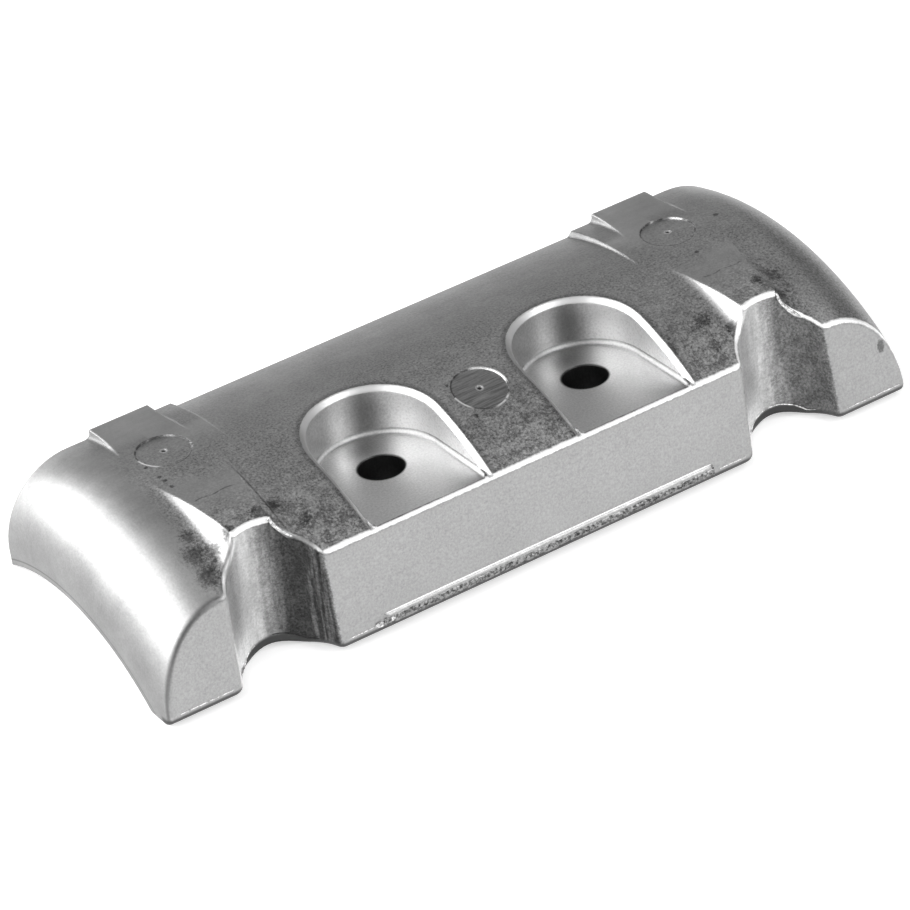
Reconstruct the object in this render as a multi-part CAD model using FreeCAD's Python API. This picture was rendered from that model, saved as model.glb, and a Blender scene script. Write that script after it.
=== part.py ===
import FreeCAD, Part
import math
import os

# Sacrificial anode, one aluminium casting, in millimetres.
# A saddle shaped bar that two bolts hold against an outboard motor's bracket.
# Frame: X along the bar, +Y towards its back, +Z up along the bolts.
# Origin: midway between the two bolt holes, on the floors of their pockets.

# Bolt holes and the pockets round them
bolt_spacing = 43.6
bolt_hole_diameter = 8.5
pocket_floor_radius = 11.9
pocket_draft = 3.0
pocket_floor_bevel = 0.7

# Saddle underneath and the two crowns above it
saddle_radius = 44.5
saddle_axis_back = 18.8
saddle_crown_down = 7.8
end_thickness = 17.35
middle_thickness = 17.1
middle_crown_forward = 2.5

# Outline of the bar
overall_length = 158.0
back_depth = 34.9
back_draft = 2.5
foot_drop = 20.0
middle_front_depth = 16.7
middle_front_draft = 3.9
end_front_depth = 15.5
end_front_draft = 6.0
end_round = 14.2
end_draft = 2.0

# Ledge where the ends rise above the middle, along the back
ledge_place = 43.4
ledge_height = 1.2
ledge_slope = 45.0

# Pads over the grooves: a wide tail at the back and a narrow neck in front
pad_place = 54.1
pad_crown_radius = 205.0
pad_crown_back = 24.0
pad_tail_width = 12.1
pad_tail_fillet = 1.0
pad_neck_width = 7.3
pad_neck_fillet = 4.5
pad_waist_back = 18.5

# Grooves in the front
groove_radius = 9.7
groove_axis_forward = 19.1

# Rounding of the casting's edges
groove_mouth_round = 1.9
foot_round = 2.0
top_edge_round = 0.9
back_edge_bevel = 0.4
pocket_rim_bevel = 0.8

# Marks of the ejector pins: one between the pockets, one on each pad
mark_diameter = 10.1
mark_depth = 0.15
mark_dot_diameter = 0.9
mark_dot_depth = 0.3
pad_mark_back = 18.2

# Remnant of the gate, a broken strip low on the front
gate_length = 70.6
gate_height = 1.5
gate_proud = 0.35
gate_above_foot = 1.5

# Working sizes that follow from the ones above
X_AXIS = FreeCAD.Vector(1, 0, 0)
saddle_axis_down = saddle_crown_down + saddle_radius
pad_crown_height = end_thickness - saddle_crown_down
end_crown_radius = saddle_radius + end_thickness
middle_crown_radius = saddle_radius + middle_thickness
middle_axis_back = saddle_axis_back - middle_crown_forward
half_length = overall_length / 2
above = 2 * end_thickness
beyond = half_length + end_round
DIAGONAL = math.sqrt(0.5)
NEAR = 0.01


def tangent(degrees):
    return math.tan(math.radians(degrees))


def edges_where(solid, test):
    """The edges that pass a test at points spread along them."""
    found = []
    for edge in solid.Edges:
        first, last = edge.ParameterRange
        points = [edge.valueAt(first + share * (last - first)) for share in (0.1, 0.3, 0.5, 0.7, 0.9)]
        if edge.Length > NEAR and all(test(point) for point in points):
            found.append(edge)
    return found


def line(x0, r0, x1, r1):
    start = FreeCAD.Vector(x0, 0, -r0)
    end = FreeCAD.Vector(x1, 0, -r1)
    return Part.LineSegment(start, end).toShape()


def arc(x0, r0, x1, r1, x2, r2):
    start = FreeCAD.Vector(x0, 0, -r0)
    middle = FreeCAD.Vector(x1, 0, -r1)
    end = FreeCAD.Vector(x2, 0, -r2)
    return Part.Arc(start, middle, end).toShape()


def turned(edges, axis_back):
    """Turn a profile of length and radius about a crown's axis."""
    axis_point = FreeCAD.Vector(0, axis_back, -saddle_axis_down)
    face = Part.Face(Part.Wire(edges))
    face.translate(axis_point)
    return face.revolve(axis_point, X_AXIS, 360)


def bar_along_x(radius, axis_back, axis_height, x_low, x_high):
    """A round bar along X, turned so that its seam lies below the casting."""
    start = FreeCAD.Vector(x_low, axis_back, axis_height)
    bar = Part.makeCylinder(radius, x_high - x_low, start, X_AXIS)
    bar.rotate(start, X_AXIS, 180)
    return bar


def both_sides(solid):
    """A feature of the right half with its mirror image on the left."""
    return [solid, solid.mirror(FreeCAD.Vector(), X_AXIS)]


def trim_block(front_depth, front_draft, x_low, x_high):
    """The room between the drafted front and back faces, above the foot."""
    front_lean = tangent(front_draft)
    back_lean = tangent(back_draft)
    corners = [
        FreeCAD.Vector(x_low, -front_depth - foot_drop * front_lean, -foot_drop),
        FreeCAD.Vector(x_low, back_depth + foot_drop * back_lean, -foot_drop),
        FreeCAD.Vector(x_low, back_depth - above * back_lean, above),
        FreeCAD.Vector(x_low, -front_depth + above * front_lean, above),
    ]
    face = Part.Face(Part.makePolygon(corners + corners[:1]))
    return face.extrude(X_AXIS * (x_high - x_low))


def end_blank():
    """The right end: a crown that rounds over into the drafted end band."""
    round_x = half_length - end_round
    round_r = end_crown_radius - end_round
    inner_r = saddle_radius - end_round / 2
    inner_x = half_length - (round_r - inner_r) * tangent(end_draft)
    knee = end_round * DIAGONAL
    ledge_x = ledge_place - ledge_height / tangent(ledge_slope)
    ledge_r = end_crown_radius - ledge_height
    edges = [
        line(ledge_x, inner_r, inner_x, inner_r),
        line(inner_x, inner_r, half_length, round_r),
        arc(half_length, round_r, round_x + knee, round_r + knee, round_x, end_crown_radius),
        line(round_x, end_crown_radius, ledge_place, end_crown_radius),
        line(ledge_place, end_crown_radius, ledge_x, ledge_r),
        line(ledge_x, ledge_r, ledge_x, inner_r),
    ]
    blank = turned(edges, saddle_axis_back)
    outer_room = trim_block(end_front_depth, end_front_draft, pad_place, beyond)
    inner_room = trim_block(middle_front_depth, middle_front_draft, 0, pad_place)
    return blank.common(outer_room).fuse(blank.common(inner_room))


def middle_blank():
    """The middle of the bar, which runs on under both pads."""
    crown = bar_along_x(middle_crown_radius, middle_axis_back, -saddle_axis_down,
                        -pad_place, pad_place)
    room = trim_block(middle_front_depth, middle_front_draft, -pad_place, pad_place)
    return crown.common(room)


def pad_half(axis_back, crown_radius, half_width, fillet, outward):
    """Half of a pad, with a hollow fillet from its wall onto the crown."""
    wall = pad_place + outward * half_width
    foot = wall + outward * fillet
    bend = fillet * (1 - DIAGONAL)
    low = crown_radius - end_thickness / 2
    high = crown_radius + above
    edges = [
        line(pad_place, low, foot, low),
        line(foot, low, foot, crown_radius),
        arc(foot, crown_radius, wall + outward * bend, crown_radius + bend, wall, crown_radius + fillet),
        line(wall, crown_radius + fillet, wall, high),
        line(wall, high, pad_place, high),
        line(pad_place, high, pad_place, low),
    ]
    return turned(edges, axis_back)


def pad():
    """The right pad: a narrow neck in front of its waist, a wide tail behind."""
    neck = pad_half(saddle_axis_back, end_crown_radius, pad_neck_width / 2, pad_neck_fillet, 1)
    neck = neck.fuse(pad_half(middle_axis_back, middle_crown_radius, pad_neck_width / 2,
                              pad_neck_fillet, -1))
    tail = pad_half(saddle_axis_back, end_crown_radius, pad_tail_width / 2, pad_tail_fillet, 1)
    tail = tail.fuse(pad_half(saddle_axis_back, end_crown_radius, pad_tail_width / 2,
                              pad_tail_fillet, -1))
    room = trim_block(middle_front_depth, middle_front_draft, 0, beyond)
    front_room = Part.makeBox(beyond, pad_waist_back + 2 * above, 4 * above,
                              FreeCAD.Vector(0, -2 * above, -2 * above))
    cap = bar_along_x(pad_crown_radius, pad_crown_back, pad_crown_height - pad_crown_radius,
                      0, beyond)
    whole = neck.common(front_room).fuse(tail.cut(front_room))
    return whole.common(cap).common(room)


def groove():
    """Cutter for the round groove in the front, below the right pad."""
    foot = FreeCAD.Vector(pad_place, -groove_axis_forward, -2 * foot_drop)
    return Part.makeCylinder(groove_radius, 4 * foot_drop, foot)


def pocket_walls(low):
    """The right pocket's drafted room from a height upwards, open to the front."""
    middle = bolt_spacing / 2
    low_radius = pocket_floor_radius + low * tangent(pocket_draft)
    top_radius = pocket_floor_radius + above * tangent(pocket_draft)
    round_back = Part.makeCone(low_radius, top_radius, above - low, FreeCAD.Vector(middle, 0, low))
    corners = [
        FreeCAD.Vector(middle - low_radius, 0, low),
        FreeCAD.Vector(middle + low_radius, 0, low),
        FreeCAD.Vector(middle + top_radius, 0, above),
        FreeCAD.Vector(middle - top_radius, 0, above),
    ]
    section = Part.Face(Part.makePolygon(corners + corners[:1]))
    run_out = section.extrude(FreeCAD.Vector(0, -2 * middle_front_depth, 0))
    return round_back.fuse(run_out).removeSplitter()


def pocket():
    """Cutter for the right pocket: round at the back, open to the front."""
    cutter = pocket_walls(0)
    corner = edges_where(cutter, lambda p: abs(p.z) < NEAR and p.y > -2 * middle_front_depth + NEAR)
    return cutter.makeChamfer(pocket_floor_bevel, corner)


def pocket_rim():
    """Cutter for the bevel of the pocket's rim, made on a crown with a deeper pocket."""
    reach = 1.5 * middle_front_depth
    room = Part.makeBox(pad_place, reach + back_depth, 4 * above, FreeCAD.Vector(0, -reach, -2 * above))
    crown = bar_along_x(middle_crown_radius, middle_axis_back, -saddle_axis_down, 0, pad_place)
    well = crown.common(room).cut(pocket_walls(-end_thickness))
    rims = edges_where(well, lambda p: on_middle_crown(p) and near_pocket(p) and p.y > -reach + NEAR)
    bevelled = well.makeChamfer(pocket_rim_bevel, rims)
    over_floor = Part.makeBox(pad_place, reach + back_depth, above, FreeCAD.Vector(0, -reach, 0))
    return well.cut(bevelled).common(over_floor)


def bolt_hole():
    foot = FreeCAD.Vector(bolt_spacing / 2, 0, -2 * foot_drop)
    return Part.makeCylinder(bolt_hole_diameter / 2, 4 * foot_drop, foot)


def mark(place, back, axis_back, crown_radius):
    """Cutter for an ejector mark: a shallow disc in a crown, with a centre dot."""
    def pin(diameter, depth):
        foot = FreeCAD.Vector(place, back, 0)
        below = bar_along_x(crown_radius - depth, axis_back, -saddle_axis_down,
                            place - diameter, place + diameter)
        return Part.makeCylinder(diameter / 2, above, foot).cut(below)
    return pin(mark_diameter, mark_depth).fuse(pin(mark_dot_diameter, mark_dot_depth))


def gate_strip():
    """The strip that was left when the gate was broken off the front."""
    low = gate_above_foot - foot_drop
    high = low + gate_height
    lean = tangent(middle_front_draft)
    face_low = -middle_front_depth + low * lean
    face_high = -middle_front_depth + high * lean
    corners = [
        FreeCAD.Vector(-gate_length / 2, face_low + gate_proud, low),
        FreeCAD.Vector(-gate_length / 2, face_low - gate_proud / 2, low),
        FreeCAD.Vector(-gate_length / 2, face_high - gate_proud, high - gate_proud / 2),
        FreeCAD.Vector(-gate_length / 2, face_high, high),
        FreeCAD.Vector(-gate_length / 2, face_high + gate_proud, high),
    ]
    face = Part.Face(Part.makePolygon(corners + corners[:1]))
    return face.extrude(X_AXIS * gate_length)


def on_groove(point):
    across = abs(point.x) - pad_place
    along = point.y + groove_axis_forward
    return abs(math.hypot(across, along) - groove_radius) < NEAR


def on_front(point):
    middle = -middle_front_depth + point.z * tangent(middle_front_draft)
    end = -end_front_depth + point.z * tangent(end_front_draft)
    return abs(point.y - (middle if abs(point.x) < pad_place else end)) < NEAR


def on_back(point):
    return abs(point.y - back_depth + point.z * tangent(back_draft)) < NEAR


def on_foot(point):
    return abs(point.z + foot_drop) < NEAR


def on_middle_crown(point):
    reach = math.hypot(point.y - middle_axis_back, point.z + saddle_axis_down)
    return abs(reach - middle_crown_radius) < NEAR


def near_pocket(point):
    across = abs(abs(point.x) - bolt_spacing / 2)
    return across < pocket_floor_radius + above * tangent(pocket_draft)


def rounded(blank):
    """The edges in front and round the foot, rounded in stages before the saddle is cut."""
    mouths = edges_where(blank, lambda p: on_groove(p) and on_front(p))
    blank = blank.makeFillet(groove_mouth_round, mouths)
    feet = edges_where(blank, lambda p: on_foot(p) and (on_front(p) or on_groove(p)))
    blank = blank.makeFillet(foot_round, feet)
    tops = edges_where(blank, lambda p: on_groove(p) and p.z > -middle_front_depth / 2)
    return blank.makeFillet(top_edge_round, tops)


def casting():
    blank = middle_blank().fuse(both_sides(end_blank()) + both_sides(pad()))
    saddle = bar_along_x(saddle_radius, saddle_axis_back, -saddle_axis_down, -beyond, beyond)
    blank = blank.cut(both_sides(groove())).removeSplitter().Solids[0]
    blank = rounded(blank).cut(saddle).Solids[0]
    backs = edges_where(blank, on_back)
    body = blank.makeChamfer(back_edge_bevel, backs).fuse(gate_strip())
    body = body.cut(both_sides(pocket()) + both_sides(pocket_rim()) + both_sides(bolt_hole()))
    body = body.removeSplitter().Solids[0]
    marks = both_sides(mark(pad_place, pad_mark_back, saddle_axis_back, end_crown_radius))
    marks.append(mark(0, 0, middle_axis_back, middle_crown_radius))
    return body.cut(marks).Solids[0]


if __name__ == "__main__":
    os.makedirs("parts", exist_ok=True)
    anode = casting()
    anode.exportStep("parts/anode_casting.step")
    print("anode_casting", anode.isValid(), round(anode.Volume), "mm3")
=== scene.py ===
"""The look of a cast aluminium sacrificial anode, lying on a pale floor.

Frame: X along the bar, +Y towards its back, +Z up along the bolts. Sizes are in
millimetres until a mesh or a shader takes them, and MM turns them into metres.
"""

import math

import bmesh
import bpy
import numpy as np
from mathutils import Matrix, Vector


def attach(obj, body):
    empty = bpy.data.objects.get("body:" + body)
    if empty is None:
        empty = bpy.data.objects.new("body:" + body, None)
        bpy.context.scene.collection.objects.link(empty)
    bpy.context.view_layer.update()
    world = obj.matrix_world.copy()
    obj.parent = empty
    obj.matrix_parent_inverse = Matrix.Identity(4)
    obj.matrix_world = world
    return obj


MM = 0.001
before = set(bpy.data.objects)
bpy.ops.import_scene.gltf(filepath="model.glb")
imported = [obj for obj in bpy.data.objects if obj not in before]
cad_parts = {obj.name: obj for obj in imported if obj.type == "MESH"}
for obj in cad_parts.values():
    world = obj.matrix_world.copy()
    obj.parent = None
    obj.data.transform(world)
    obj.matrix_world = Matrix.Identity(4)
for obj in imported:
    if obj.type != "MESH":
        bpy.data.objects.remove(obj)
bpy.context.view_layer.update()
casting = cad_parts["anode_casting"]

# The camera: angles in degrees, lens and sensor in millimetres
CAMERA_AZIMUTH = -29.49
CAMERA_ELEVATION = 30.93
CAMERA_ROLL = -7.86
CAMERA_DISTANCE = 939.3
CAMERA_RIGHT = -5.455
CAMERA_UP = -5.703
CAMERA_AIM_BACK = -0.576
CAMERA_SENSOR = 36.0
CAMERA_LENS = 210.37

# The studio
FLOOR_SIZE = 3.0
FLOOR_GLOW = 0.50
WORLD_STRENGTH = 0.40

# The bar's own sizes, as its solid has them
BOLT_SPACING = 43.6
BOLT_HOLE_RADIUS = 4.25
POCKET_RADIUS = 11.9
POCKET_LEAN = math.tan(math.radians(3.0))
RIM_BEVEL = 0.8
FLOOR_BEVEL = 0.7
EDGE_ROUND = 0.9
SADDLE_RADIUS = 44.5
CROWN_AXIS_DOWN = 52.3
END_CROWN_AXIS_BACK = 18.8
END_CROWN_RADIUS = 61.85
MIDDLE_CROWN_AXIS_BACK = 16.3
MIDDLE_CROWN_RADIUS = 61.6
END_ROUND = 14.2
PAD_PLACE = 54.1
NECK_HALF_WIDTH = 3.65
NECK_FILLET = 4.5
PAD_CROWN_AXIS_BACK = 24.0
PAD_CROWN_AXIS_DOWN = 195.45
PAD_CROWN_RADIUS = 205.0
MARK_RADIUS = 5.05
MARK_BACK = 18.2
GROOVE_RADIUS = 9.7
GROOVE_AXIS_FORWARD = 19.1
MIDDLE_FRONT = -16.7
MIDDLE_FRONT_LEAN = math.tan(math.radians(3.9))
END_FRONT = -15.5
END_FRONT_LEAN = math.tan(math.radians(6.0))
FOOT = -20.0
HALF_LENGTH = 79.0

# Heights over the foot of the parting line and of the gate's surfaces
PARTING = 2.15
GROOVE_PARTING = 1.7
TEAR_BOTTOM = 1.9
TEAR_HEIGHT = 1.2
GATE_TOP = 3.0
GATE_LINE = 3.8
GATE_HALF_LENGTH = 35.3
GATE_PROUD = 0.35

# Least share of the neck's hollow in the depth below the top, which softens the edges beside it
LEAST_SUNK = 0.5

# Dark smudges on top: x, y and reach of each
SMUDGES = (
    (-57.5, -9.0, 2.8), (-50.9, -7.6, 3.4), (-46.2, -5.0, 2.8), (-43.5, -9.5, 2.2), (-60.5, -8.0, 3.0),
    (47.5, -10.0, 2.2), (43.8, -6.5, 3.0), (60.2, -7.5, 2.8), (57.0, -5.0, 2.2), (-63.8, -11.5, 4.8),
    (-64.0, -7.0, 4.4), (-62.8, -3.5, 3.2), (62.0, -3.0, 2.8), (42.5, -11.5, 2.6), (-59.4, 15.4, 0.7),
    (-59.0, 11.4, 0.7), (-58.9, 9.9, 0.8), (-58.8, 7.6, 0.7), (53.9, 8.9, 0.7), (64.1, 17.0, 0.9),
    (-4.5, -5.2, 0.8), (-4.6, 3.4, 0.6))

# A chip in the right end's front face, taller than it is wide, painted as a dark patch: painted shade, since
# the mesh has no dent
CHIP_X = 74.8
CHIP_Z = -9.0
CHIP_STRETCH = 0.6

# The wavy line that something drew across each pad's neck
DRAG_BACK = 1.4
DRAG_WAVE = 0.16
DRAG_TURNS = 1.3

# Tones of the cast skin, as linear grey
TONE_TOP = 0.35
TONE_TOP_FRONT = 0.355
# Painted shade and light: the top's back, the right end and the left end's outer edge are painted darker, and
# the left end lighter
TONE_TOP_BACK_PAINTED_SHADE = 0.265
TONE_PAD = 0.41
TONE_END_LEFT_PAINTED_LIGHT = 0.44
TONE_END_RIGHT_PAINTED_SHADE = 0.25
TONE_OUTER_LEFT_PAINTED_SHADE = 0.27
# Painted highlights: the hollows beside the pads' necks are painted lighter
TONE_HOLLOW_PAINTED_HIGHLIGHT = 0.56
TONE_HOLLOW_FAR_PAINTED_LIGHT = 0.50
TONE_FRONT = 0.38
TONE_POCKET_LEFT = 0.60
TONE_POCKET_RIGHT = 0.51
# Painted highlight on the pockets' walls
TONE_WALL_PAINTED_HIGHLIGHT = 0.95
# Edges: painted shade, and wear with painted highlight
TONE_EDGE_WEAR_AND_HIGHLIGHT = 1.0
TONE_EDGE_PAINTED_SHADE = 0.09
TONE_RIM_WEAR_AND_HIGHLIGHT = 0.72
# Painted light and shade across the grooves' curve
TONE_GROOVE_PAINTED_LIGHT = 0.84
TONE_GROOVE_PAINTED_SHADE_LEFT = 0.050
TONE_GROOVE_PAINTED_SHADE_RIGHT = 0.13
TONE_GROOVE_FAR_PAINTED_SHADE = 0.14
TONE_HOLE_PAINTED_SHADE = 0.05
TONE_MARK = 0.26
TONE_PIP_RING = 0.8
TONE_LINE = 0.05
TONE_FOOT_PAINTED_SHADE = 0.065
TONE_SHINE = 1.0


def direction(azimuth, elevation):
    """Unit vector from the object towards an azimuth and elevation, in degrees."""
    a, e = math.radians(azimuth), math.radians(elevation)
    return Vector((math.sin(a) * math.cos(e), -math.cos(a) * math.cos(e), math.sin(e)))


def add_to_scene(thing):
    bpy.context.scene.collection.objects.link(thing)
    return thing


def make_camera():
    back = direction(CAMERA_AZIMUTH, CAMERA_ELEVATION)
    turned = math.radians(CAMERA_AZIMUTH)
    level = Vector((math.cos(turned), math.sin(turned), 0))
    right = Matrix.Rotation(math.radians(CAMERA_ROLL), 3, back) @ level
    up = back.cross(right)
    data = bpy.data.cameras.new("camera")
    data.sensor_width = CAMERA_SENSOR
    data.lens = CAMERA_LENS
    data.clip_start, data.clip_end = 0.01, 20.0
    camera = add_to_scene(bpy.data.objects.new("camera", data))
    aim = Vector((0, CAMERA_AIM_BACK, 0)) + right * CAMERA_RIGHT + up * CAMERA_UP
    turn = Matrix((right, up, back)).transposed().to_4x4()
    camera.matrix_world = Matrix.Translation((aim + back * CAMERA_DISTANCE) * MM) @ turn
    bpy.context.scene.camera = camera


# Shader values and nodes

class Value:
    """A shader value that formulas can use: each operation adds a math node to its tree."""

    def __init__(self, tree, socket):
        self.tree = tree
        self.socket = socket

    def calc(self, operation, *others):
        return math_node(self.tree, operation, self, *others)

    def __add__(self, other):
        return self.calc("ADD", other)

    def __radd__(self, other):
        return self.calc("ADD", other)

    def __sub__(self, other):
        return self.calc("SUBTRACT", other)

    def __rsub__(self, other):
        return math_node(self.tree, "SUBTRACT", other, self)

    def __mul__(self, other):
        return self.calc("MULTIPLY", other)

    def __rmul__(self, other):
        return self.calc("MULTIPLY", other)

    def __abs__(self):
        return self.calc("ABSOLUTE")


def feed(tree, socket, value):
    """Link a value to a socket, or set the socket to a plain number, vector or colour."""
    if isinstance(value, Value):
        tree.links.new(value.socket, socket)
    else:
        socket.default_value = value


def node(tree, kind, inputs=None, **settings):
    """A shader node with its settings and inputs."""
    made = tree.nodes.new(kind)
    for name, setting in settings.items():
        setattr(made, name, setting)
    for key, value in (inputs or {}).items():
        feed(tree, made.inputs[key], value)
    return made


def math_node(tree, operation, *terms):
    return Value(tree, node(tree, "ShaderNodeMath", dict(enumerate(terms)), operation=operation).outputs[0])


def length_of(first, second):
    """Length of the vector with two given parts at right angles."""
    tree = first.tree
    joined = Value(tree, node(tree, "ShaderNodeCombineXYZ", {"X": first, "Y": second}).outputs[0])
    return Value(tree, node(tree, "ShaderNodeVectorMath", {0: joined}, operation="LENGTH").outputs["Value"])


def ramp(value, low, high, start, end):
    """Start below low, end above high and a smooth step between them."""
    limits = {"Value": value, "From Min": low, "From Max": high, "To Min": start, "To Max": end}
    made = node(value.tree, "ShaderNodeMapRange", limits, interpolation_type="SMOOTHSTEP")
    return Value(value.tree, made.outputs["Result"])


def rise(value, low, high):
    return ramp(value, low, high, 0.0, 1.0)


def fall(value, low, high):
    return ramp(value, low, high, 1.0, 0.0)


def band(value, middle, half_width, soft):
    """1 within half_width of the middle, with soft edges."""
    return fall(abs(value - middle), half_width - soft, half_width + soft)


def blend(share, low, high):
    made = node(share.tree, "ShaderNodeMix", {"Factor": share, "A": low, "B": high}, data_type="FLOAT")
    return Value(share.tree, made.outputs["Result"])


def highest(first, *others):
    for other in others:
        first = first.calc("MAXIMUM", other)
    return first


def noise(place, size, detail=2.0, roughness=0.5, stretch=(1, 1, 1), seed=0.0):
    """Noise between 0 and 1 whose features are about size millimetres wide."""
    tree = place.tree
    scale = Vector(stretch) / (size * MM)
    moved = node(tree, "ShaderNodeMapping", {"Vector": place, "Location": (seed, seed, seed), "Scale": scale})
    made = node(tree, "ShaderNodeTexNoise", {"Vector": Value(tree, moved.outputs[0]), "Scale": 1.0,
                                             "Detail": detail, "Roughness": roughness})
    return Value(tree, made.outputs["Fac"])


def open_group(name, inputs):
    """A new node group with its named inputs, as a tree and values."""
    tree = bpy.data.node_groups.new(name, "ShaderNodeTree")
    for label, kind in inputs.items():
        tree.interface.new_socket(name=label, in_out="INPUT", socket_type=kind)
    given = tree.nodes.new("NodeGroupInput").outputs
    return tree, {label: Value(tree, given[label]) for label in inputs}


def close_group(tree, outputs):
    """Give the group an output for each named value."""
    for label in outputs:
        tree.interface.new_socket(name=label, in_out="OUTPUT", socket_type="NodeSocketFloat")
    sockets = tree.nodes.new("NodeGroupOutput").inputs
    for label, value in outputs.items():
        feed(tree, sockets[label], value)
    return tree


def placed_group(tree, group, inputs):
    """The group's outputs, as values by name."""
    made = node(tree, "ShaderNodeGroup", node_tree=group)
    for label, value in inputs.items():
        feed(tree, made.inputs[label], value)
    return {socket.name: Value(tree, socket) for socket in made.outputs}


def make_regions_group():
    """Masks of the bar's surfaces, from a place on it: each is 1 on its surface."""
    tree, given = open_group("bar regions", {"Vector": "NodeSocketVector"})
    scaled = node(tree, "ShaderNodeVectorMath", {0: given["Vector"], "Scale": 1 / MM}, operation="SCALE")
    place = node(tree, "ShaderNodeSeparateXYZ", {0: Value(tree, scaled.outputs[0])}).outputs
    x, y, z = (Value(tree, place[axis]) for axis in "XYZ")
    side = x.calc("SIGN")
    across = abs(x)
    up = z + CROWN_AXIS_DOWN
    is_end = across.calc("GREATER_THAN", PAD_PLACE)
    is_middle = across.calc("LESS_THAN", PAD_PLACE / 2)

    # Depths below the crowns, the pads and the necks' hollows
    under_middle = MIDDLE_CROWN_RADIUS - length_of(y - MIDDLE_CROWN_AXIS_BACK, up)
    end_reach = length_of(y - END_CROWN_AXIS_BACK, up)
    into_end = (across - (HALF_LENGTH - END_ROUND)).calc("MAXIMUM", 0.0)
    over_core = (end_reach - (END_CROWN_RADIUS - END_ROUND)).calc("MAXIMUM", 0.0)
    under_end = END_ROUND - length_of(into_end, over_core)
    under_pad = PAD_CROWN_RADIUS - length_of(y - PAD_CROWN_AXIS_BACK, z + PAD_CROWN_AXIS_DOWN)
    under_crown = blend(is_end, under_middle, under_end)
    from_groove = across - PAD_PLACE
    off_neck = abs(from_groove) - NECK_HALF_WIDTH
    sunk = (1 - off_neck * (1 / NECK_FILLET)).calc("MAXIMUM", LEAST_SUNK).calc("MINIMUM", 1.0)
    hollow_rise = 1 - (1 - sunk * sunk).calc("SQRT")
    under_hollow = under_crown + hollow_rise * NECK_FILLET
    under_top = highest(under_crown, under_pad.calc("MINIMUM", under_hollow))
    on_top = fall(under_top, 1.0, 1.2)

    # Pockets and holes
    from_bolt = across - BOLT_SPACING / 2
    past_wall = length_of(from_bolt, y.calc("MAXIMUM", 0.0)) - (z * POCKET_LEAN + POCKET_RADIUS)
    above_floor = rise(z, -0.3, -0.1)
    rim = fall(past_wall, RIM_BEVEL - 0.05, RIM_BEVEL + 0.35) * rise(past_wall, -0.15, 0.05)
    rim = rim * above_floor * fall(under_middle, RIM_BEVEL - 0.05, RIM_BEVEL + 0.25)
    rim_halo = fall(past_wall, RIM_BEVEL + 0.4, RIM_BEVEL + 1.5) * above_floor
    pocket = fall(past_wall, 0.1, 0.2) * above_floor * rise(under_middle, 0.15, 0.3)
    cove = rise(past_wall, -FLOOR_BEVEL - 0.1, -FLOOR_BEVEL + 0.05) * fall(z, FLOOR_BEVEL, FLOOR_BEVEL + 0.15)
    hole = fall(length_of(from_bolt, y), BOLT_HOLE_RADIUS - 0.1, BOLT_HOLE_RADIUS + 0.45) * fall(z, 0.1, 0.2)

    # Front faces, grooves and their top edges
    behind_groove = length_of(from_groove, y + GROOVE_AXIS_FORWARD) - GROOVE_RADIUS
    middle_face = z * MIDDLE_FRONT_LEAN + MIDDLE_FRONT
    end_face = z * END_FRONT_LEAN + END_FRONT
    behind = y - blend(is_end, middle_face, end_face)
    behind_edge = behind.calc("MINIMUM", behind_groove)
    front = fall(behind, 0.1, 0.4) * rise(under_top, 0.2, EDGE_ROUND)
    lip = fall(behind_edge, 0.35, EDGE_ROUND + 0.2) * fall(under_top, 0.5, EDGE_ROUND + 0.2)

    # Hollows beside the pads' necks: those that face left, and those that face right
    faces_left = (from_groove * side).calc("LESS_THAN", 0.0)
    hollows = fall(under_crown, -0.45, -0.05) * rise(under_pad, 0.02, 0.12)
    hollows = hollows * rise(behind_groove, 0.3, 0.9) * fall(y, 10.0, 16.0)
    hollow_line = fall(abs(off_neck - 0.62 * NECK_FILLET), 0.05, 0.40) * (1 - faces_left)
    hollow_line = hollow_line * fall(y, 2.0, 9.0) * rise(behind_groove, 0.6, 1.2)

    # Foot, the saddle's outer edge and the gate
    above_saddle = (end_reach - SADDLE_RADIUS) * 1.3
    above_foot = (z - FOOT).calc("MINIMUM", above_saddle)
    foot = fall(above_foot, PARTING - 1.0, PARTING - 0.1) * fall(behind_edge, 2.0, 3.0)
    skirt = fall(abs(end_reach - (SADDLE_RADIUS + 1.1)), 0.05, 0.25)
    gate = fall(z - FOOT, GATE_TOP - 0.5, GATE_TOP - 0.3) * fall(behind, 0.5, 1.0)

    # Ejector marks, drag lines, smudges and the chip
    mark_x = blend(is_middle, from_groove * side, x)
    mark_y = y - blend(is_middle, MARK_BACK, 0.0)
    mark_reach = length_of(mark_x, mark_y)
    drag_y = y - ((x * DRAG_TURNS).calc("SINE") * DRAG_WAVE + DRAG_BACK)
    drag = fall(abs(drag_y), 0.03, 0.25) * fall(abs(from_groove), 3.6, 4.6)
    spots = [fall(length_of(x - spot_x, y - spot_y), 0.2, reach) for spot_x, spot_y, reach in SMUDGES]
    chip = fall(length_of(x - CHIP_X, (z - CHIP_Z) * CHIP_STRETCH), 0.5, 1.15) * front

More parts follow.
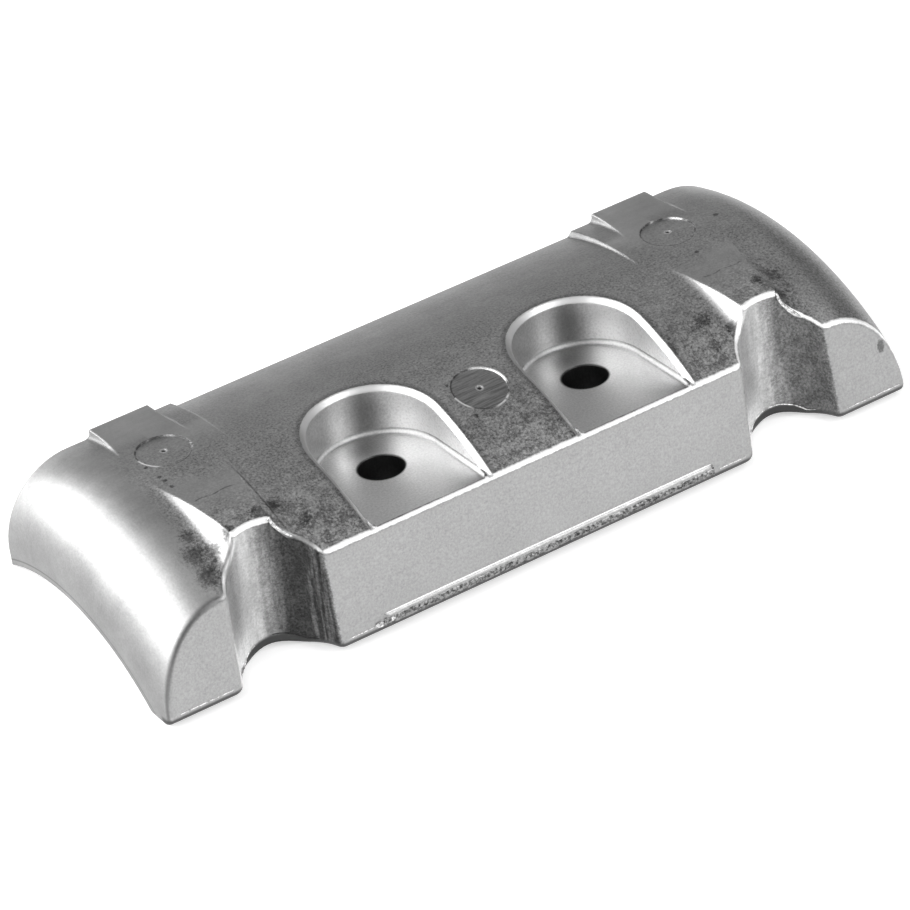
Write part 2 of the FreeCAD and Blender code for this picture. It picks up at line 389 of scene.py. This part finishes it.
    return close_group(tree, {
        "Middle": is_middle,
        "Right": rise(x, -PAD_PLACE / 2, PAD_PLACE / 2),
        "End": rise(across, PAD_PLACE + 6.0, HALF_LENGTH - 9.0),
        "Outer": rise(across, HALF_LENGTH - 3.0, HALF_LENGTH),
        "Forward": behind,
        "Front": front,
        "Lip": lip,
        "Pad": fall(under_pad, 0.08, 0.2) * fall(under_crown, -0.5, -0.05),
        "Hollow": hollows * faces_left,
        "Hollow Far": hollows * (1 - faces_left),
        "Hollow Line": hollow_line,
        "Groove": fall(behind_groove, 0.1, 0.7) * (1 - front),
        "Groove Side": (from_groove * side) * (1 / GROOVE_RADIUS),
        "Pocket": pocket,
        "Pocket Side": (from_bolt * side) * (1 / POCKET_RADIUS),
        "Wall": pocket * rise(z, FLOOR_BEVEL, FLOOR_BEVEL + 0.3),
        "Cove": cove * pocket,
        "Cove Highlight Line": fall(abs(z - FLOOR_BEVEL / 2), 0.02, 0.30),
        "Behind Hole": rise(y, 2.0, 8.0) * fall(abs(from_bolt), 0.5, 5.5),
        "Rim": rim,
        "Rim Halo": rim_halo * fall(under_middle, 0.4, 0.6),
        "Hole": hole,
        "Foot": foot,
        "Skirt": skirt * rise(across, HALF_LENGTH - 4.0, HALF_LENGTH - 2.0),
        "Gate": gate * fall(across, GATE_HALF_LENGTH - 0.5, GATE_HALF_LENGTH),
        "Mark": fall(mark_reach, MARK_RADIUS - 0.1, MARK_RADIUS + 0.1) * on_top,
        "Mark Reach": mark_reach + (1 - on_top) * (2 * MARK_RADIUS),
        "Mark Turn": mark_y.calc("ARCTAN2", mark_x),
        "Drag": drag * on_top,
        "Smudges And Chip": highest(chip, highest(*spots) * fall(under_top, 0.8, 1.1)),
    })


def make_grain_group():
    """Cast grain: fine grain, dark specks gathered into patches and wide clouds."""
    tree, given = open_group("cast grain", {"Vector": "NodeSocketVector", "Grain": "NodeSocketFloat",
                                            "Specks": "NodeSocketFloat", "Clouds": "NodeSocketFloat"})
    place = given["Vector"]
    fine = noise(place, 0.42, roughness=0.7)
    coarse = noise(place, 0.55, detail=3.0, roughness=0.75, seed=3.7)
    patches = noise(place, 2.6, detail=3.0, roughness=0.6, seed=7.3)
    wide = noise(place, 11.0, detail=3.0, roughness=0.6, seed=2.1)
    drawn = noise(place, 1.4, stretch=(0.12, 1, 1), seed=5.5)
    gathered = (patches - 0.5) * 0.75 + coarse
    specks = fall(gathered, 0.33, 0.64) * given["Specks"]
    grain = (fine - 0.5) * given["Grain"]
    clouds = ((wide - 0.5) + (drawn - 0.5) * 0.3) * given["Clouds"]
    light = (grain + clouds + 1.0) * (given["Specks"] * 0.35 + 1.0)
    return close_group(tree, {"Tone": light * (1 - specks), "Height": fine})


REGIONS = make_regions_group()
GRAIN = make_grain_group()


# Materials

def new_material(name):
    """A material with its tree, its shader and the place on the object."""
    material = bpy.data.materials.new(name)
    material.use_nodes = True
    tree = material.node_tree
    where = Value(tree, node(tree, "ShaderNodeTexCoord").outputs["Object"])
    return material, tree, tree.nodes["Principled BSDF"], where


def grain_inputs(on):
    """How strong the fine grain, the specks and the clouds are on each surface."""
    off_pad = 1 - on["Pad"] * rise(on["Forward"], 7.0, 20.0) * 0.7
    near_front = fall(on["Forward"], 3.0, 26.0) * fall(on["End"], 0.0, 0.6) * off_pad
    left_end = rise(on["End"], 0.0, 0.5) * (1 - on["Right"])
    smooth = highest(on["Front"], on["Pocket"], on["Hollow"], on["Rim"])
    groove_dull = rise(on["Groove Side"], -0.3, 0.5)
    middle_mark = on["Mark"] * on["Middle"]

    specks = blend(near_front, 0.04, 0.60) + on["Smudges And Chip"] * 0.35
    specks = blend(smooth, specks, 0.0)
    specks = blend(on["Groove"], specks, groove_dull * 0.35 + 0.06)
    specks = blend(middle_mark, specks, 0.0)

    fine = blend(fall(on["Forward"], 22.0, 42.0), 0.8, 2.2) * off_pad
    fine = blend(left_end, fine, 0.4)
    fine = blend(smooth, fine, 0.7)
    fine = blend(on["Groove"], fine, groove_dull * 1.2 + 0.8)
    fine = blend(middle_mark, fine, 0.4)
    return {"Grain": fine, "Specks": specks, "Clouds": blend(smooth, 0.60, 0.15)}


def top_tone(on):
    # Painted shade on the top's back, the right end and the left end's outer edge, and painted light on the
    # left end
    left = 1 - on["Right"]
    tone = blend(rise(on["Forward"], 30.0, 48.0), TONE_TOP, TONE_TOP_BACK_PAINTED_SHADE)
    tone = blend(fall(on["Forward"], 5.0, 20.0), tone, TONE_TOP_FRONT)
    tone = blend(on["End"] * left, tone, TONE_END_LEFT_PAINTED_LIGHT)
    tone = blend(on["Pad"], tone, TONE_PAD)
    tone = blend(rise(on["End"], 0.7, 1.0) * on["Right"], tone, TONE_END_RIGHT_PAINTED_SHADE)
    return blend(on["Outer"] * left, tone, TONE_OUTER_LEFT_PAINTED_SHADE)


def groove_painted_light_and_shade(on, where):
    """Painted light on the groove's left and painted shade on its right, broken into upright streaks."""
    streaks = noise(where, 1.8, detail=3.0, roughness=0.6, stretch=(1, 1, 0.12), seed=3.1)
    turn = on["Groove Side"] + (streaks - 0.5) * 0.6
    dark = blend(on["Right"], TONE_GROOVE_PAINTED_SHADE_LEFT, TONE_GROOVE_PAINTED_SHADE_RIGHT)
    tone = blend(rise(turn, -0.85, 0.60), TONE_GROOVE_PAINTED_LIGHT, dark)
    return blend(band(turn, 0.90, 0.05, 0.05), tone, TONE_GROOVE_FAR_PAINTED_SHADE)


def pocket_painted_light_and_shade(on):
    """Painted light and shade in a pocket: a painted highlight on the right of the wall, a painted dark
    column on the wall, a floor painted darker to the right, and a darker band behind the hole that is partly
    a stain and partly painted shade.
    """
    off_wall = 1 - on["Wall"]
    tone = blend(on["Right"], TONE_POCKET_LEFT, TONE_POCKET_RIGHT)
    tone = blend(on["Wall"] * rise(on["Pocket Side"], 0.45, 0.75), tone, TONE_WALL_PAINTED_HIGHLIGHT)
    tone = tone * (1 - on["Wall"] * band(on["Pocket Side"], 0.36, 0.13, 0.13) * 0.36)
    tone = tone * (1 - off_wall * on["Behind Hole"] * 0.42)
    return tone * (1 - off_wall * rise(on["Pocket Side"], 0.1, 0.8) * 0.40)


def surface_tone(on, where):
    """The tone of each surface, before its grain and its edges, with painted light and shade on the top,
    ends, grooves, pockets, coves and hollows.
    """
    left = 1 - on["Right"]
    in_pocket = pocket_painted_light_and_shade(on)
    # The coves at the pockets' floors: painted shade, with a painted highlight line along them that fades to
    # the right
    cove_painted_light_share = on["Cove"] * (1 - rise(on["Pocket Side"], 0.6, 0.95) * 0.6)
    tone = blend(on["Front"], top_tone(on), TONE_FRONT)
    tone = blend(on["Groove"], tone, groove_painted_light_and_shade(on, where))
    tone = blend(on["Pocket"], tone, in_pocket)
    tone = blend(cove_painted_light_share, tone, in_pocket * blend(on["Cove Highlight Line"], 0.68, 1.1))
    # Painted highlight: the hollows beside the pads' necks are painted lighter, most where they face left
    tone = blend(on["Hollow Far"] * left, tone, TONE_HOLLOW_FAR_PAINTED_LIGHT)
    tone = blend(on["Hollow Line"] * left * 0.6, tone, TONE_LINE)
    tone = blend(on["Hollow"], tone, TONE_HOLLOW_PAINTED_HIGHLIGHT)
    turned = noise(where, 0.33, stretch=(0.08, 1, 1), seed=4.4)
    tone = blend(on["Mark"] * on["Middle"], tone, (turned * 1.6 + 0.2) * TONE_MARK)
    tone = tone * (1 - on["Rim Halo"] * (1 - on["Pocket"]) * 0.35)
    brushed = noise(where, 1.6, detail=3.0, roughness=0.6, stretch=(1, 0.18, 0.18), seed=5.9)
    return tone * (1 + on["Hollow"] * (brushed * 0.9 - 0.45))


def with_marks(tone, on, where):
    """Add the ejector marks' rings and pips and the drag lines."""
    broken = rise(noise(where, 1.2, seed=6.6), 0.30, 0.55)
    tone = blend(band(on["Mark Reach"], MARK_RADIUS, 0.14, 0.12) * broken * 0.8, tone, TONE_LINE)
    tone = blend(band(on["Mark Reach"], 0.62, 0.14, 0.10) * 0.5, tone, TONE_PIP_RING)
    tone = blend(band(on["Mark Reach"], 0.0, 0.36, 0.10), tone, TONE_LINE)
    return blend(on["Drag"] * broken * 0.55, tone, TONE_LINE), broken


def with_dirt_and_chip_shade(tone, on, where):
    """Add the smudges, the chip's painted shade and the torn face of the gate."""
    blotch = noise(where, 0.5, roughness=0.7, seed=8.8)
    smudge = rise(on["Smudges And Chip"] + (blotch - 0.5) * 1.6, 0.25, 1.1)
    tone = blend(smudge * 0.70, tone, TONE_LINE)
    torn = noise(where, 0.55, detail=4.0, roughness=0.75, stretch=(0.5, 1, 1), seed=1.7)
    return blend(on["Gate"], tone, rise(torn, 0.35, 0.66) * 0.45 + 0.08)


def mark_shine(on, broken):
    """Bright arcs on the marks' rings, where light catches their edges."""
    turn = on["Mark Turn"]
    middle = highest(band(turn, 0.55, 0.75, 0.15), band(turn, -3.0, 0.55, 0.15),
                     band(turn, -1.2, 0.35, 0.15) * broken)
    off_middle = 1 - on["Middle"]
    left = band(turn, -2.7, 0.45, 0.15) * (off_middle - on["Right"])
    right = band(turn, 0.65, 0.25, 0.10) * off_middle * on["Right"]
    return highest(middle * on["Middle"], left, right) * band(on["Mark Reach"], MARK_RADIUS + 0.1, 0.22, 0.12)


def edge_wear_and_highlight_masks(on, where):
    """How bright the front's top edges and the pockets' rims are, partly from wear and partly as painted
    highlight; where a groove's crest lies in shade its edge keeps its painted shade.
    """
    ragged_wear = noise(where, 1.1, detail=4.0, roughness=0.7, seed=9.2)
    groove_side = on["Groove Side"]
    shaded_crest = rise(groove_side, 0.45, 0.6) * fall(groove_side, 0.92, 1.0)
    shaded_crest = highest(shaded_crest, band(groove_side, -0.60, 0.18, 0.08)) * (1 - on["Right"]) * 0.75
    share = highest(fall(on["End"], 0.0, 0.5), on["Right"]) * (1 - shaded_crest)
    lip = rise(on["Lip"] + (ragged_wear - 0.5), 0.15, 0.85) * rise(on["Lip"], 0.0, 0.2) * share
    rim = rise(on["Rim"] + (ragged_wear - 0.5) * 1.4, 0.25, 0.85) * rise(on["Rim"], 0.0, 0.2)
    return lip, rim * (1 - fall(on["Pocket Side"], -1.0, -0.75) * 0.55)


def cast_aluminium():
    """The casting's skin: grey and speckled on top, lighter in the pockets and in front."""
    material, tree, shader, where = new_material("cast aluminium")
    on = placed_group(tree, REGIONS, {"Vector": where})
    grain = placed_group(tree, GRAIN, {"Vector": where, **grain_inputs(on)})
    tone = surface_tone(on, where) * grain["Tone"]
    tone, broken = with_marks(tone, on, where)
    tone = with_dirt_and_chip_shade(tone, on, where)
    lip_wear_and_highlight, rim_wear_and_highlight = edge_wear_and_highlight_masks(on, where)
    # The front's top edges are painted dark as shade, then bright where worn and lit: wear and painted
    # highlight
    tone = blend(on["Lip"] * 0.8, tone, TONE_EDGE_PAINTED_SHADE)
    tone = blend(lip_wear_and_highlight, tone, TONE_EDGE_WEAR_AND_HIGHLIGHT)
    tone = blend(rim_wear_and_highlight, tone, TONE_RIM_WEAR_AND_HIGHLIGHT)
    # Painted shade along the foot and the saddle's outer edge, by the floor
    tone = blend(highest(on["Foot"], on["Skirt"] * 0.6), tone, TONE_FOOT_PAINTED_SHADE)
    tone = blend(mark_shine(on, broken), tone, TONE_SHINE)
    # Painted shade inside the bolt holes
    tone = blend(on["Hole"], tone, TONE_HOLE_PAINTED_SHADE)
    feed(tree, shader.inputs["Base Color"], tone)
    feed(tree, shader.inputs["Roughness"], blend(lip_wear_and_highlight, blend(on["Pocket"], 0.42, 0.40), 0.55))
    soft = Value(tree, node(tree, "ShaderNodeBevel", {"Radius": 0.6 * MM}, samples=6).outputs[0])
    bump = node(tree, "ShaderNodeBump", {"Height": grain["Height"], "Normal": soft,
                                         "Strength": 0.25, "Distance": 0.1 * MM})
    feed(tree, shader.inputs["Normal"], Value(tree, bump.outputs[0]))
    shader.inputs["Metallic"].default_value = 1.0
    return material


def burr_aluminium(name, dark, bright):
    """Torn or squeezed out metal: its tone wanders between dark pits and bright crests."""
    material, tree, shader, where = new_material(name)
    pits = noise(where, 0.6, detail=4.0, roughness=0.7, seed=2.9)
    feed(tree, shader.inputs["Base Color"], blend(rise(pits, 0.34, 0.64), dark, bright))
    bump = node(tree, "ShaderNodeBump", {"Height": pits, "Strength": 0.3, "Distance": 0.1 * MM})
    feed(tree, shader.inputs["Normal"], Value(tree, bump.outputs[0]))
    feed(tree, shader.inputs["Roughness"], blend(pits, 0.55, 0.35))
    shader.inputs["Metallic"].default_value = 1.0
    return material


# Burrs and flash, as surfaces worked out with numpy

def ragged(steps, seed, spread):
    """Values from 0 to 1 that wander: seeded noise, averaged over spread steps."""
    raw = np.random.default_rng(seed).random(steps + 4 * spread)
    soft = np.convolve(raw, np.hanning(spread + 2)[1:-1], "same")[2 * spread:2 * spread + steps]
    return (soft - soft.min()) / (soft.max() - soft.min())


def make_piece(name, material, points, faces):
    mesh = bpy.data.meshes.new(name)
    mesh.from_pydata((points * MM).tolist(), [], faces.tolist())
    mesh.validate()
    work = bmesh.new()
    work.from_mesh(mesh)
    bmesh.ops.remove_doubles(work, verts=work.verts, dist=1e-7)
    bmesh.ops.recalc_face_normals(work, faces=work.faces)
    work.to_mesh(mesh)
    work.free()
    mesh.polygons.foreach_set("use_smooth", np.ones(len(mesh.polygons), dtype=bool))
    piece = add_to_scene(bpy.data.objects.new(name, mesh))
    piece.data.materials.append(material)
    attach(piece, "root")
    return piece


def tube_faces(rings, sides):
    """Faces between rings of points, each closed on itself."""
    i = np.arange(rings - 1)[:, None] * sides
    j = np.arange(sides)[None, :]
    k = (j + 1) % sides
    return np.stack((i + j, i + k, i + sides + k, i + sides + j), axis=-1).reshape(-1, 4)


def shell(name, material, front, sink):
    """A closed sheet: front is a grid of points, and its back is the same grid moved by sink."""
    rows, columns = front.shape[:2]
    back = rows * columns
    at = np.arange(back).reshape(rows, columns)
    sheet = np.stack((at[:-1, :-1], at[:-1, 1:], at[1:, 1:], at[1:, :-1]), axis=-1).reshape(-1, 4)
    rim = np.concatenate((at[0, :-1], at[:-1, -1], at[-1, :0:-1], at[:0:-1, 0]))
    onward = np.roll(rim, -1)
    edge = np.stack((onward, rim, rim + back, onward + back), axis=-1)
    faces = np.concatenate((sheet, sheet[:, ::-1] + back, edge))
    points = np.concatenate((front.reshape(-1, 3), (front + sink).reshape(-1, 3)))
    return make_piece(name, material, points, faces)


def bead(name, material, path, outward, width, height, sides=8):
    """A ridge along a path.

    Each cross-section is an ellipse about the path's point: height along the outward
    direction and width across it. Both are arrays, one value a point, so the ridge
    swells and thins. Its two ends close on a point.
    """
    forward = np.gradient(path, axis=0)
    forward /= np.linalg.norm(forward, axis=1, keepdims=True)
    aside = np.cross(forward, outward)
    taper = np.sqrt(np.clip(1 - np.linspace(-1, 1, len(path)) ** 24, 0, 1))
    turn = np.linspace(0, 2 * np.pi, sides, endpoint=False)
    ring = (np.cos(turn)[None, :, None] * (outward * (height * taper)[:, None])[:, None, :]
            + np.sin(turn)[None, :, None] * (aside * (width * taper)[:, None])[:, None, :])
    points = (path[:, None, :] + ring).reshape(-1, 3)
    return make_piece(name, material, points, tube_faces(len(path), sides))


def flash(name, material, path, outward, high, least, seed):
    """Flash along the parting line: a thin bead that never sinks below the least share of its height."""
    rough = ragged(len(path), seed, 5)
    return bead(name, material, path, outward, 0.08 + 0.05 * rough, high * np.clip(1.2 * rough, least, 1))


def front_flash(name, start, end, lean, front, high, seed):
    """Flash on a flat front face: its path is y = front + lean z, at the parting line's height."""
    x = np.linspace(start, end, int(abs(end - start) / 0.25))
    z = np.full_like(x, FOOT + PARTING)
    path = np.stack((x, front + z * lean, z), axis=1)
    return flash(name, FLASH, path, np.tile((0.0, -1.0, lean), (len(x), 1)), high, 0.4, seed)


def bottom_edge(y):
    """Height of the bar's bottom edge: its foot, or where the saddle comes out above it."""
    reach = np.clip(SADDLE_RADIUS ** 2 - (y - END_CROWN_AXIS_BACK) ** 2, 0, None)
    return np.maximum(FOOT, -CROWN_AXIS_DOWN + np.sqrt(reach))


def groove_flash(name, material, side, start, end, high, seed):
    """Flash in a groove: its path is the groove's arc from start to end degrees, above the bottom edge."""
    turn = np.radians(np.linspace(start, end, int(abs(end - start) * 0.7)))
    x = side * PAD_PLACE + GROOVE_RADIUS * np.cos(turn)
    y = -GROOVE_AXIS_FORWARD + GROOVE_RADIUS * np.sin(turn)
    path = np.stack((x, y, bottom_edge(y) + GROOVE_PARTING), axis=1)
    outward = np.stack((-np.cos(turn), -np.sin(turn), 0 * turn), axis=1)
    return flash(name, material, path, outward, high, 0.35, seed)


def middle_front(z):
    """The middle's drafted front face: y at a height."""
    return MIDDLE_FRONT + z * MIDDLE_FRONT_LEAN


def torn_gate(name, seed, columns=560, rows=9):
    """The torn face of the gate: a closed sheet whose height over the strip comes from two ragged waves.

    height = rim * (0.06 + 0.50 * close(x, row) * (0.35 + 0.65 * broad(x))) - 0.03, with
    rim = sqrt(sin(pi v)) * sqrt(distance to the strip's end, up to 1), so that all four
    sides go below the strip's face.
    """
    x = np.linspace(-GATE_HALF_LENGTH + 0.1, GATE_HALF_LENGTH - 0.1, columns)
    v = np.linspace(0, 1, rows)[:, None]
    broad = ragged(columns, seed, 24)
    close = np.stack([np.roll(ragged(columns, seed + 1, 4), 7 * row) for row in range(rows)])
    ends = np.clip((GATE_HALF_LENGTH - np.abs(x)) / 1.0, 0, 1)[None, :] ** 0.5
    rim = np.sin(np.pi * v) ** 0.5 * ends
    height = rim * (0.06 + 0.50 * close * (0.35 + 0.65 * broad)[None, :]) - 0.03
    z = FOOT + TEAR_BOTTOM + v * TEAR_HEIGHT + 0.15 * (broad - 0.5)[None, :] * rim
    y = middle_front(z) - GATE_PROUD - height
    front = np.stack((np.broadcast_to(x[None, :], z.shape), y, z), axis=-1)
    return shell(name, TEAR, front, np.array((0, GATE_PROUD, 0)))


def gate_blob(name, place, reach, seed, rings=13, sides=24):
    """A lump of metal: a sphere of radius reach * (1 + (0.26 sin(3a + 2b) + 0.20 sin(5a - 3b)) cos(b))."""
    a = np.linspace(0, 2 * np.pi, sides, endpoint=False)[None, :]
    b = np.linspace(-np.pi / 2, np.pi / 2, rings)[:, None]
    wave = 1 + (0.26 * np.sin(3 * a + 2 * b + seed) + 0.20 * np.sin(5 * a - 3 * b)) * np.cos(b)
    x = np.cos(a) * np.cos(b) * wave * reach * 1.3
    y = np.sin(a) * np.cos(b) * wave * reach * 0.7
    z = np.sin(b) * reach * 0.8 + 0 * a
    points = np.stack((x, y, z), axis=-1).reshape(-1, 3) + place
    return make_piece(name, FLASH, points, tube_faces(rings, sides))


def gate_land(name, columns=120, rows=9):
    """The smooth top of the gate: a thin wedge along x, sharp at its top line.

    From the line down to the tear its height over the front face is
    0.40 * (1 - (1 - s) ** 3), with s from 0 at the line to 1 at the tear.
    """
    s = np.linspace(0, 1, rows)
    x = np.linspace(-GATE_HALF_LENGTH, GATE_HALF_LENGTH - 0.1, columns)
    s, x = np.meshgrid(s, x, indexing="ij")
    ends = np.clip((GATE_HALF_LENGTH - np.abs(x + 0.05)) / 0.6, 0, 1)
    z = FOOT + GATE_LINE - s * (GATE_LINE - GATE_TOP + 0.15)
    y = middle_front(z) + 0.03 - ends * (GATE_PROUD + 0.05) * (1 - (1 - s) ** 3)
    return shell(name, LAND, np.stack((x, y, z), axis=-1), np.array((0, GATE_PROUD, 0)))


def gate_crest(name, seed):
    """The crisp top line of the gate: a thin bead along x."""
    x = np.linspace(-35.0, GATE_HALF_LENGTH - 0.2, 260)
    z = np.full_like(x, FOOT + GATE_LINE)
    path = np.stack((x, middle_front(z) + 0.02, z), axis=1)
    rough = ragged(len(x), seed, 9)
    outward = np.tile((0.0, -0.7, 0.7), (len(x), 1))
    return bead(name, CREST, path, outward, 0.15 + 0.02 * rough, 0.16 + 0.03 * rough)


def arch(y, radius, axis_back, axis_down):
    """Height of a crown along x, at a place towards the back."""
    return -axis_down + np.sqrt(radius ** 2 - (y - axis_back) ** 2)


def groove_lip(name, side, start, end, seed):
    """A torn lip on a groove's top edge, where the pad's neck hollow runs down beside it.

    The path follows the groove's arc, at the height of the hollow: the crown plus
    r (1 - sqrt(1 - t * t)), with t from 1 at the neck to 0 where the hollow ends.
    """
    off = np.linspace(start, end, 26)
    x = side * PAD_PLACE + off
    y = -GROOVE_AXIS_FORWARD + np.sqrt(GROOVE_RADIUS ** 2 - off ** 2)
    if side < 0:
        crown = arch(y, MIDDLE_CROWN_RADIUS, MIDDLE_CROWN_AXIS_BACK, CROWN_AXIS_DOWN)
    else:
        crown = arch(y, END_CROWN_RADIUS, END_CROWN_AXIS_BACK, CROWN_AXIS_DOWN)
    t = np.clip(1 - (np.abs(off) - NECK_HALF_WIDTH) / NECK_FILLET, 0, 1)
    hollow = crown + NECK_FILLET * (1 - np.sqrt(1 - t ** 2))
    pad = arch(y, PAD_CROWN_RADIUS, PAD_CROWN_AXIS_BACK, PAD_CROWN_AXIS_DOWN)
    top = np.maximum(crown, np.minimum(hollow, pad))
    path = np.stack((x, y + 0.25, top - 0.12), axis=1)
    rough = ragged(len(off), seed, 4)
    outward = np.tile((0.0, -0.6, 0.8), (len(off), 1))
    size = np.linspace(1, 0.35, len(off))
    width = 0.60 * size * (0.7 + 0.3 * rough)
    return bead(name, FLASH, path, outward, width, 0.55 * size * (0.6 + 0.4 * rough))


# The studio

def resting_plane():
    """The plane that the bar's foot and back edge stand on, as a point and a normal."""
    points = np.zeros(len(casting.data.vertices) * 3)
    casting.data.vertices.foreach_get("co", points)
    y, z = points.reshape(-1, 3)[:, 1], points.reshape(-1, 3)[:, 2]
    foot_z = z.min()
    foot_y = y[z < foot_z + 0.01 * MM].max()
    behind = y > 0
    slope = ((z[behind] - foot_z) / (y[behind] - foot_y)).min()
    return Vector((0, foot_y, foot_z)), Vector((0, -slope, 1)).normalized()


def make_floor():
    """A pale floor that the camera and the metal see as white, with the bar's shadow kept."""
    point, normal = resting_plane()
    across = Vector((1, 0, 0)) * FLOOR_SIZE
    back = normal.cross(across)
    corners = [point + across * i + back * j for i, j in ((-1, -1), (1, -1), (1, 1), (-1, 1))]
    mesh = bpy.data.meshes.new("floor")
    mesh.from_pydata(corners, [], [(0, 1, 2, 3)])
    floor = add_to_scene(bpy.data.objects.new("floor", mesh))
    material = bpy.data.materials.new("pale floor")
    material.use_nodes = True
    tree = material.node_tree
    shader = tree.nodes["Principled BSDF"]
    shader.inputs["Base Color"].default_value = (0.8, 0.8, 0.8, 1)
    shader.inputs["Roughness"].default_value = 0.9
    shader.inputs["Specular IOR Level"].default_value = 0.0
    shader.inputs["Emission Color"].default_value = (1, 1, 1, 1)
    ray = node(tree, "ShaderNodeLightPath").outputs
    seen = highest(Value(tree, ray["Is Camera Ray"]), Value(tree, ray["Is Glossy Ray"]))
    feed(tree, shader.inputs["Emission Strength"], seen * FLOOR_GLOW)
    mesh.materials.append(material)


def area_light(name, azimuth, elevation, distance, width, height, watts):
    """A softbox that looks at the bar from an azimuth and elevation, in metres and watts."""
    data = bpy.data.lights.new(name, "AREA")
    data.shape = "RECTANGLE"
    data.size, data.size_y = width, height
    data.energy = watts
    light = add_to_scene(bpy.data.objects.new(name, data))
    out = direction(azimuth, elevation)
    light.location = out * distance
    light.rotation_mode = "QUATERNION"
    light.rotation_quaternion = out.to_track_quat("Z", "Y")


def make_world():
    world = bpy.data.worlds.new("pale room")
    bpy.context.scene.world = world
    world.use_nodes = True
    background = world.node_tree.nodes["Background"]
    background.inputs["Color"].default_value = (1, 1, 1, 1)
    background.inputs["Strength"].default_value = WORLD_STRENGTH


make_camera()
make_floor()
area_light("left softbox", -103, 38, 1.0, 1.4, 1.0, 15)
area_light("back left softbox", -147, 24, 1.0, 0.5, 0.4, 3)
area_light("front strip", 33, 33, 1.2, 0.40, 1.1, 7)
make_world()
FLASH = burr_aluminium("flash aluminium", 0.30, 0.95)
CREST = burr_aluminium("crest aluminium", 0.90, 1.0)
# Painted shade: flash material painted nearly black, for the groove flash that lies in shade
SHADED_FLASH = burr_aluminium("flash aluminium in painted shade", 0.02, 0.06)
TEAR = burr_aluminium("torn aluminium", 0.04, 0.40)
LAND = burr_aluminium("gate aluminium", 0.38, 0.46)
front_flash("left_end_flash", -76.8, -65.6, END_FRONT_LEAN, END_FRONT, 0.13, 11)
groove_flash("left_groove_flash", FLASH, -1, 158, 106, 0.34, 12)
# Groove flash in painted shade
groove_flash("left_groove_flash_in_painted_shade", SHADED_FLASH, -1, 84, 34, 0.18, 13)
front_flash("left_front_flash", -42.6, -36.4, MIDDLE_FRONT_LEAN, MIDDLE_FRONT, 0.22, 14)
torn_gate("gate_tear", 15)
gate_land("gate_land")
gate_crest("gate_crest", 16)
gate_blob("gate_blob", np.array((-36.3, -18.10, -17.70)), 0.62, 0.4)
gate_blob("gate_blob_small", np.array((-33.9, -18.3, -17.50)), 0.45, 1.9)
front_flash("right_front_flash", 36.2, 42.4, MIDDLE_FRONT_LEAN, MIDDLE_FRONT, 0.10, 17)
groove_flash("right_groove_near_flash", FLASH, 1, 158, 96, 0.32, 18)
groove_flash("right_groove_far_flash", FLASH, 1, 93, 38, 0.22, 19)
front_flash("right_end_flash", 65.4, 77.6, END_FRONT_LEAN, END_FRONT, 0.20, 20)
groove_lip("left_groove_lip", -1, 3.6, 6.8, 21)
groove_lip("right_groove_lip", 1, 3.6, 7.0, 22)
casting.data.materials.clear()
casting.data.materials.append(cast_aluminium())
bpy.context.scene.view_settings.view_transform = "Standard"
